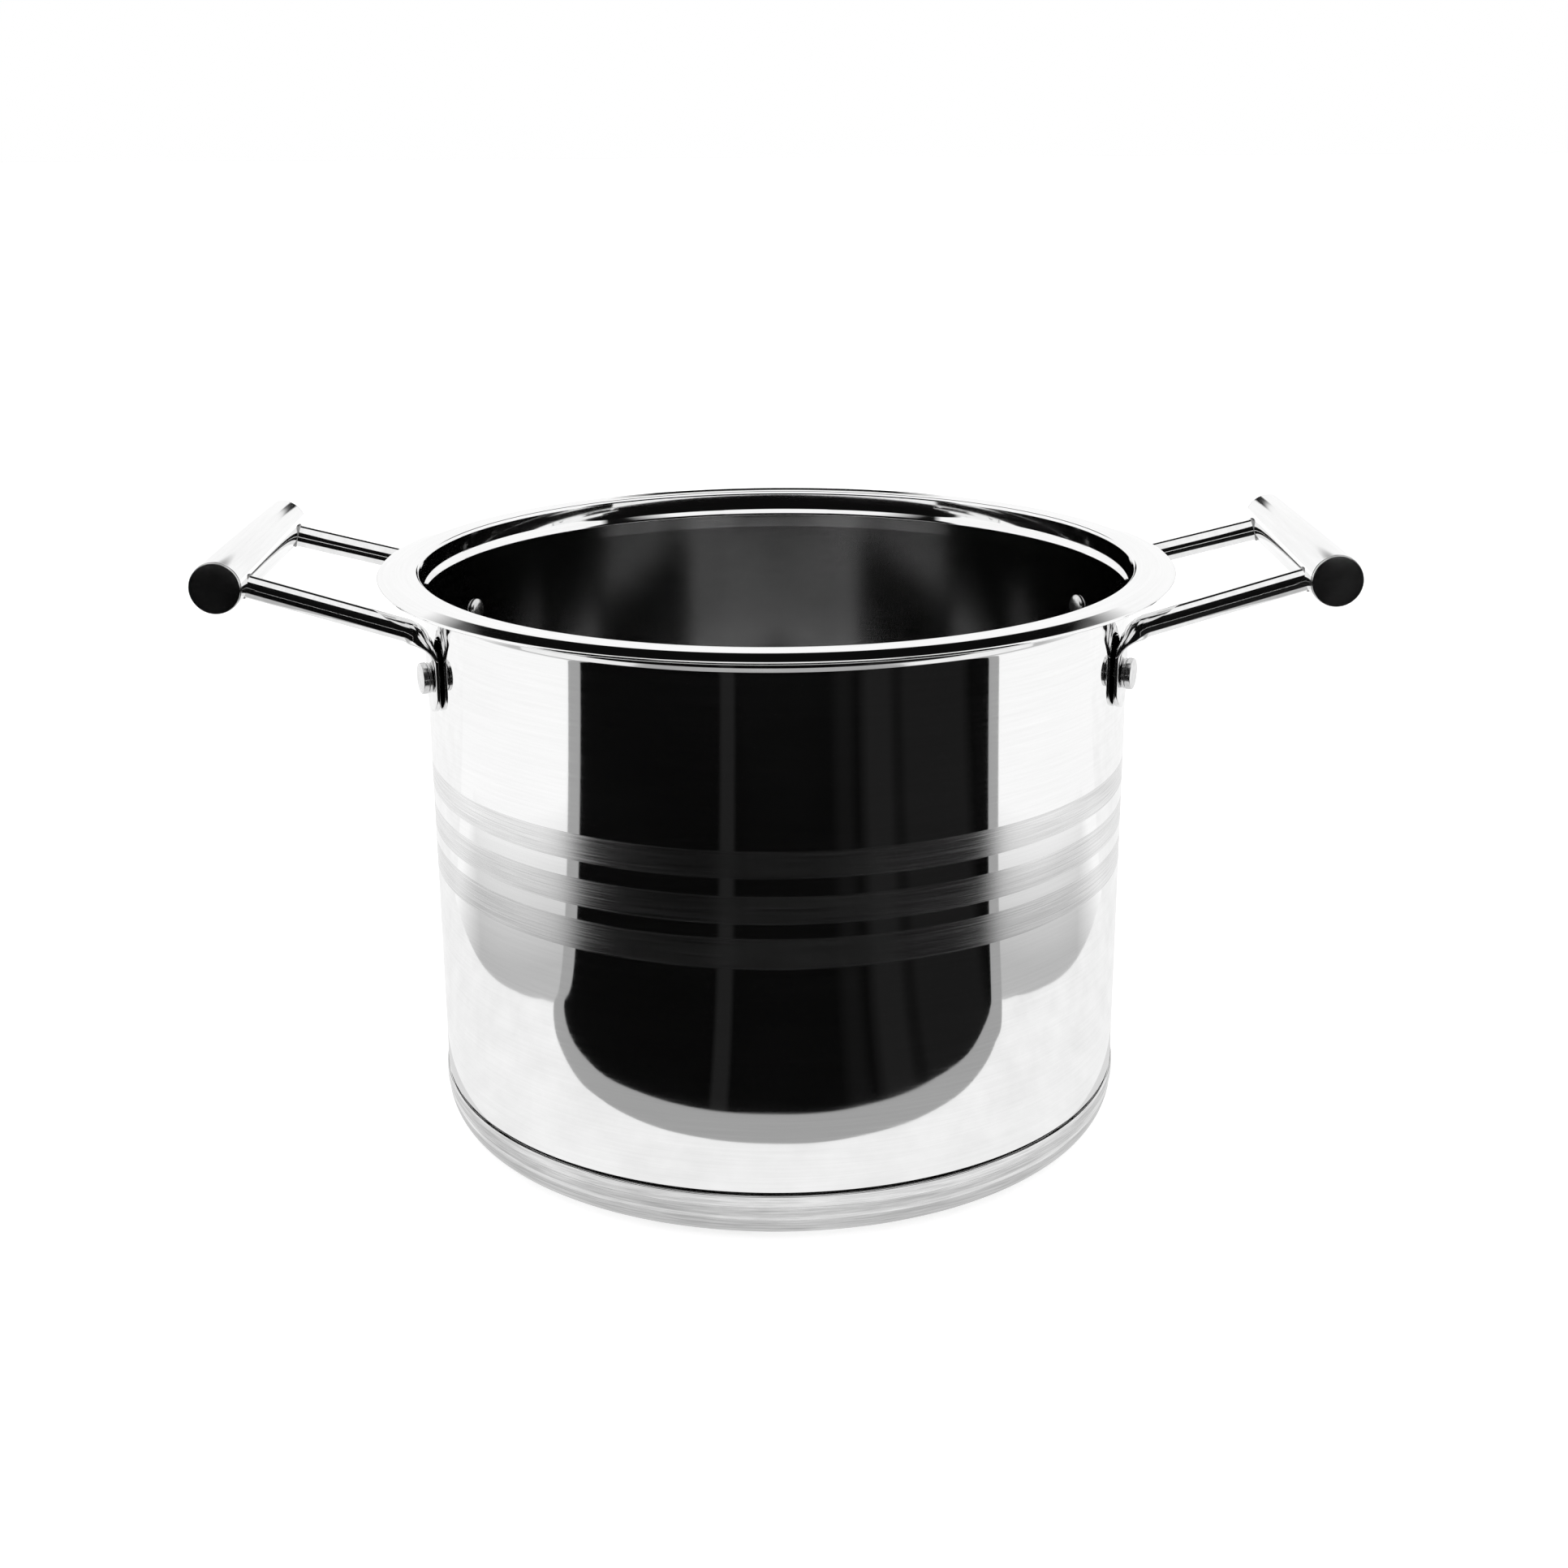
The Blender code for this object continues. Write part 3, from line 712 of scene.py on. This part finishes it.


# Studio

# What the wall mirrors: a white platform with a bowed front, a grey strip of painted shade along its edge,
# and a dark room beyond the strip. Both edges are where the wall shows them in the photo, in pixels from left
# to right.
DARK_EDGE = (
    (715, 830), (711.7, 1117), (705, 1213), (695.5, 1239), (698, 1265), (708, 1290), (725, 1312),
    (745, 1330), (800, 1355), (875, 1373), (961, 1378), (1060, 1368), (1140, 1340), (1170, 1322),
    (1195, 1300), (1212, 1270), (1220, 1246.5), (1221, 1218), (1218, 1080), (1218.5, 834),
)
PLATFORM_EDGE = (
    (700, 825), (697, 1117), (690, 1213), (682.5, 1239), (684, 1270), (694, 1300), (715, 1335),
    (745, 1360), (800, 1388), (875, 1406), (961, 1412), (1060, 1402), (1140, 1376), (1195, 1338),
    (1225, 1290), (1234.5, 1239.5), (1230, 1074), (1231, 830),
)

# How far the dark room goes on to both sides, and the strip's grey, painted shade on the platform's edge
DARK_REACH = 9.0
PAINTED_EDGE_SHADE = 0.37

# How far the cards lie above the floor, so that each covers the one under it
CARD_HEIGHT = 0.0008

# The pale platform that the wall mirrors: its darkest and lightest grey, and how it turns white further out
PLATFORM_GREY = (0.80, 1.02)
PLATFORM_FAR_GREY = 1.15
PLATFORM_FADE_START = 0.25
PLATFORM_REACH = 1.50
SMUDGES_SCALE = 26.0

# Darker rings of floor round the foot, painted contact shade: inner and outer radius, and grey
FOOT_SHADES = (
    (0.1140, 0.1250, 0.66),
    (0.1285, 0.1400, 0.72),
)

# Dark cards that the rods of the handles mirror
FLAG_Y = -0.20
FLAG_SPAN = (0.10, 0.34)
FLAG_HEIGHTS = (0.24, 0.50)
FLAG_GREY = 0.004

# Sectors of the dark room that are a little lighter: from and to, degrees of azimuth from the front,
# how softly they end, and grey
DARK_SECTORS = (
    (-16.0, -12.0, 1.2, 0.013),
    (16.0, 21.0, 3.0, 0.006),
    (24.0, 33.0, 3.5, 0.012),
    (35.0, 56.0, 3.5, 0.010),
)
ROOM_GREY = 0.0022

# The platform's right edge from front to back and the reach of the greyer floor beside it, both mirrored
# for the left, and how that floor turns white further out and further back
PLATFORM_SIDE = (
    (0.228, -0.150), (0.243, -0.110), (0.252, -0.060), (0.258, 0.0), (0.266, 0.060), (0.275, 0.126),
)
SIDE_FLOOR_REACH = ((1.400, 0.500), (1.600, -0.500), (1.000, -0.480))
# The greyer floor next to the platform is painted shadow of the platform, fading outwards.
SIDE_FLOOR_SHADOW_GREY = 0.50
SIDE_FLOOR_FADE = 0.20
SIDE_FLOOR_REAR_FADE = (0.020, 0.120)

# Floor: half its width, its grey, how matt it is and how much light it gives off
FLOOR_REACH = 8.0
FLOOR_GREY = 0.82
FLOOR_ROUGHNESS = 0.9
FLOOR_LIGHT = 0.62

# The surround: which directions are dark, and how dark. Centre azimuth from the front, half width, lowest
# and highest elevation and softness, in degrees
DARK_PATCHES = (
    (2.0, 68.0, -90.0, 40.0, 1.5),
    (180.0, 18.0, 25.0, 61.0, 2.0),
    (180.0, 3.8, -10.0, 11.5, 0.6),
)
DARK_PATCH_GREY = 0.004


def glow_material(name):
    """A material that only gives off light, with its nodes and the socket of its colour."""
    made, tree, shader = new_material(name)
    tree.nodes.remove(shader)
    lamp = tree.nodes.new("ShaderNodeEmission")
    tree.links.new(lamp.outputs[0], tree.nodes["Material Output"].inputs["Surface"])
    return made, tree, lamp.inputs["Color"]


def glow(name, grey):
    """A plain material that gives off a grey."""
    made, tree, colour = glow_material(name)
    colour.default_value = (grey, grey, grey, 1)
    return made


def platform_glow(name):
    """The platform: pale grey with slow, faint smudges, white further out."""
    made, tree, colour = glow_material(name)
    noise = noise_node(tree, place_node(tree), SMUDGES_SCALE, detail=4.0, roughness=0.6)
    smudges = stretch(tree, noise, *PLATFORM_GREY)
    distance = tree.nodes.new("ShaderNodeVectorMath")
    distance.operation = "LENGTH"
    tree.links.new(place_node(tree), distance.inputs[0])
    fade = stretch(tree, distance.outputs["Value"], 0.0, 1.0, PLATFORM_FADE_START, PLATFORM_REACH)
    missing = math_node(tree, "SUBTRACT", PLATFORM_FAR_GREY, smudges)
    tree.links.new(math_node(tree, "ADD", smudges, math_node(tree, "MULTIPLY", fade, missing)), colour)
    return made


def card(name, outline, height, material):
    """A flat card at a height, seen only in reflections."""
    mesh = bpy.data.meshes.new(name)
    mesh.from_pydata([(x, y, height) for x, y in outline], [], [list(range(len(outline)))])
    stage_reflection(name, mesh, material)


def stage_reflection(name, mesh, material):
    """Puts a card on the stage, where only reflections show it."""
    mesh.materials.append(material)
    item = bpy.data.objects.new(name, mesh)
    bpy.context.scene.collection.objects.link(item)
    item.visible_camera = False
    item.visible_diffuse = False
    item.visible_shadow = False


def dark_outline(edge):
    """The dark room's outline: a smooth curve through its near edge, then far out along both sides."""
    plan = [floor_seen_at(place) for place in edge]
    line = []
    for before, start, end, after in zip(plan, plan[1:], plan[2:], plan[3:]):
        for i in range(OUTLINE_STEPS):
            t = i / OUTLINE_STEPS
            line.append((
                start * 2 + (end - before) * t + (before * 2 - start * 5 + end * 4 - after) * t * t
                + (start * 3 - before - end * 3 + after) * t * t * t
            ) / 2)
    line.append(plan[-2])
    ends = (plan[:2], plan[:-3:-1])
    far_left, far_right = [end + (end - inner).normalized() * DARK_REACH for end, inner in ends]
    return [tuple(point) for point in [far_left, plan[0]] + line + [plan[-1], far_right]]


def azimuth_node(tree, across, deep):
    """The angle from the front towards +X, in degrees."""
    forward = math_node(tree, "MULTIPLY", deep, -1.0)
    return math_node(tree, "MULTIPLY", math_node(tree, "ARCTAN2", across, forward), 180 / math.pi)


def dark_room_glow(name):
    """The dark room's floor, with its lighter sectors."""
    made, tree, colour = glow_material(name)
    split = tree.nodes.new("ShaderNodeSeparateXYZ")
    tree.links.new(place_node(tree), split.inputs[0])
    turn = azimuth_node(tree, split.outputs[0], split.outputs[1])
    grey = ROOM_GREY
    for start, end, soft, shade in DARK_SECTORS:
        past_start = math_node(tree, "SUBTRACT", turn, start)
        inside = math_node(tree, "MINIMUM", past_start, math_node(tree, "SUBTRACT", end, turn))
        share = clamped(tree, math_node(tree, "ADD", math_node(tree, "DIVIDE", inside, soft), 0.5))
        grey = math_node(tree, "ADD", math_node(tree, "MULTIPLY", share, shade - ROOM_GREY), grey)
    tree.links.new(grey, colour)
    return made


def side_floor_glow(name):
    """The floor beside the platform: grey painted shadow of the platform next to it, and white further out
    and further back.
    """
    made, tree, colour = glow_material(name)
    split = tree.nodes.new("ShaderNodeSeparateXYZ")
    tree.links.new(place_node(tree), split.inputs[0])
    out = math_node(tree, "SUBTRACT", math_node(tree, "ABSOLUTE", split.outputs[0]), PLATFORM_SIDE[-1][0])
    fade = clamped(tree, math_node(tree, "DIVIDE", out, SIDE_FLOOR_FADE))
    rear = stretch(tree, split.outputs[1], 0.0, 1.0, *SIDE_FLOOR_REAR_FADE)
    fade = math_node(tree, "MAXIMUM", fade, rear)
    tree.links.new(stretch(tree, fade, SIDE_FLOOR_SHADOW_GREY, 1.0), colour)
    return made


def round_card(name, inner, outer, height, material):
    """A flat disc or ring round the pot's axis, seen only in reflections."""
    mesh = turned_mesh(name, [(inner, height), (outer, height)], POT_FACETS)
    stage_reflection(name, mesh, material)


def upright_card(name, x_way, material):
    """A dark upright card in front of a handle, seen only in reflections."""
    corners = [(x_way * x, FLAG_Y, z) for z in FLAG_HEIGHTS for x in FLAG_SPAN]
    mesh = bpy.data.meshes.new(name)
    mesh.from_pydata(corners, [], [(0, 1, 3, 2)])
    stage_reflection(name, mesh, material)


def build_cards():
    round_card("platform", 0, PLATFORM_REACH, CARD_HEIGHT / 8, platform_glow("platform"))
    for i, (inner, outer, shade) in enumerate(FOOT_SHADES):
        round_card(f"foot_shade_{i}", inner, outer, CARD_HEIGHT / 4, glow(f"foot_shade_{i}", shade))
    for side, x_way in SIDES.items():
        outline = [(x_way * x, y) for x, y in PLATFORM_SIDE + SIDE_FLOOR_REACH]
        card(f"{side}_grey_floor", outline, CARD_HEIGHT / 2, side_floor_glow(f"{side}_grey_floor"))
        upright_card(f"{side}_flag", x_way, glow(f"{side}_flag", FLAG_GREY))
    strip = glow("grey_floor_edge", PAINTED_EDGE_SHADE)
    card("grey_floor_edge", dark_outline(PLATFORM_EDGE), CARD_HEIGHT, strip)
    card("dark_floor", dark_outline(DARK_EDGE), 2 * CARD_HEIGHT, dark_room_glow("dark_floor"))


def build_floor():
    """A large pale floor that is lit a little from within, so that it stays nearly white."""
    made, tree, shader = new_material("pale_floor")
    shader.inputs["Base Color"].default_value = (FLOOR_GREY, FLOOR_GREY, FLOOR_GREY, 1)
    shader.inputs["Roughness"].default_value = FLOOR_ROUGHNESS
    shader.inputs["Emission Color"].default_value = (1, 1, 1, 1)
    shader.inputs["Emission Strength"].default_value = FLOOR_LIGHT
    corners = [(x * FLOOR_REACH, y * FLOOR_REACH, 0) for x, y in ((-1, -1), (1, -1), (1, 1), (-1, 1))]
    mesh = bpy.data.meshes.new("floor")
    mesh.from_pydata(corners, [], [(0, 1, 2, 3)])
    mesh.materials.append(made)
    item = bpy.data.objects.new("floor", mesh)
    bpy.context.scene.collection.objects.link(item)


def build_world():
    """A white surround with dark patches, which the camera itself sees as plain white."""
    world = bpy.data.worlds.new("studio")
    bpy.context.scene.world = world
    world.use_nodes = True
    tree = world.node_tree
    tree.nodes.clear()
    split = tree.nodes.new("ShaderNodeSeparateXYZ")
    tree.links.new(tree.nodes.new("ShaderNodeTexCoord").outputs["Generated"], split.inputs[0])
    across, deep, high = split.outputs
    elevation = math_node(tree, "MULTIPLY", math_node(tree, "ARCSINE", high), 180 / math.pi)
    turn = azimuth_node(tree, across, deep)
    dark = 0.0
    for azimuth, half, low, top, soft in DARK_PATCHES:
        apart = math_node(tree, "ABSOLUTE", math_node(tree, "SUBTRACT", turn, azimuth))
        apart = math_node(tree, "MINIMUM", apart, math_node(tree, "SUBTRACT", 360.0, apart))
        mask = 1.0
        for first, second in ((half, apart), (elevation, low), (top, elevation)):
            within = math_node(tree, "DIVIDE", math_node(tree, "SUBTRACT", first, second), 2 * soft)
            mask = math_node(tree, "MULTIPLY", mask, clamped(tree, math_node(tree, "ADD", within, 0.5)))
        dark = math_node(tree, "MAXIMUM", dark, mask)
    camera_ray = tree.nodes.new("ShaderNodeLightPath").outputs["Is Camera Ray"]
    dark = math_node(tree, "MULTIPLY", dark, math_node(tree, "SUBTRACT", 1.0, camera_ray))
    grey = stretch(tree, dark, 1.0, DARK_PATCH_GREY)
    background = tree.nodes.new("ShaderNodeBackground")
    tree.links.new(grey, background.inputs["Color"])
    output = tree.nodes.new("ShaderNodeOutputWorld")
    tree.links.new(background.outputs[0], output.inputs["Surface"])


def build_camera():
    right, up, forward = camera_axes()
    data = bpy.data.cameras.new("camera")
    data.lens = CAMERA_LENS
    data.sensor_width = SENSOR_WIDTH
    item = bpy.data.objects.new("camera", data)
    place = Matrix.Translation((0, -CAMERA_DISTANCE, CAMERA_HEIGHT))
    item.matrix_world = place @ Matrix((right, up, -forward)).transposed().to_4x4()
    bpy.context.scene.collection.objects.link(item)
    bpy.context.scene.camera = item


def main():
    finishes = make_finishes()
    build_pot(finishes)
    build_base(finishes)
    build_handles(finishes)
    build_floor()
    build_cards()
    build_world()
    build_camera()
    bpy.context.scene.view_settings.view_transform = "Standard"


main()
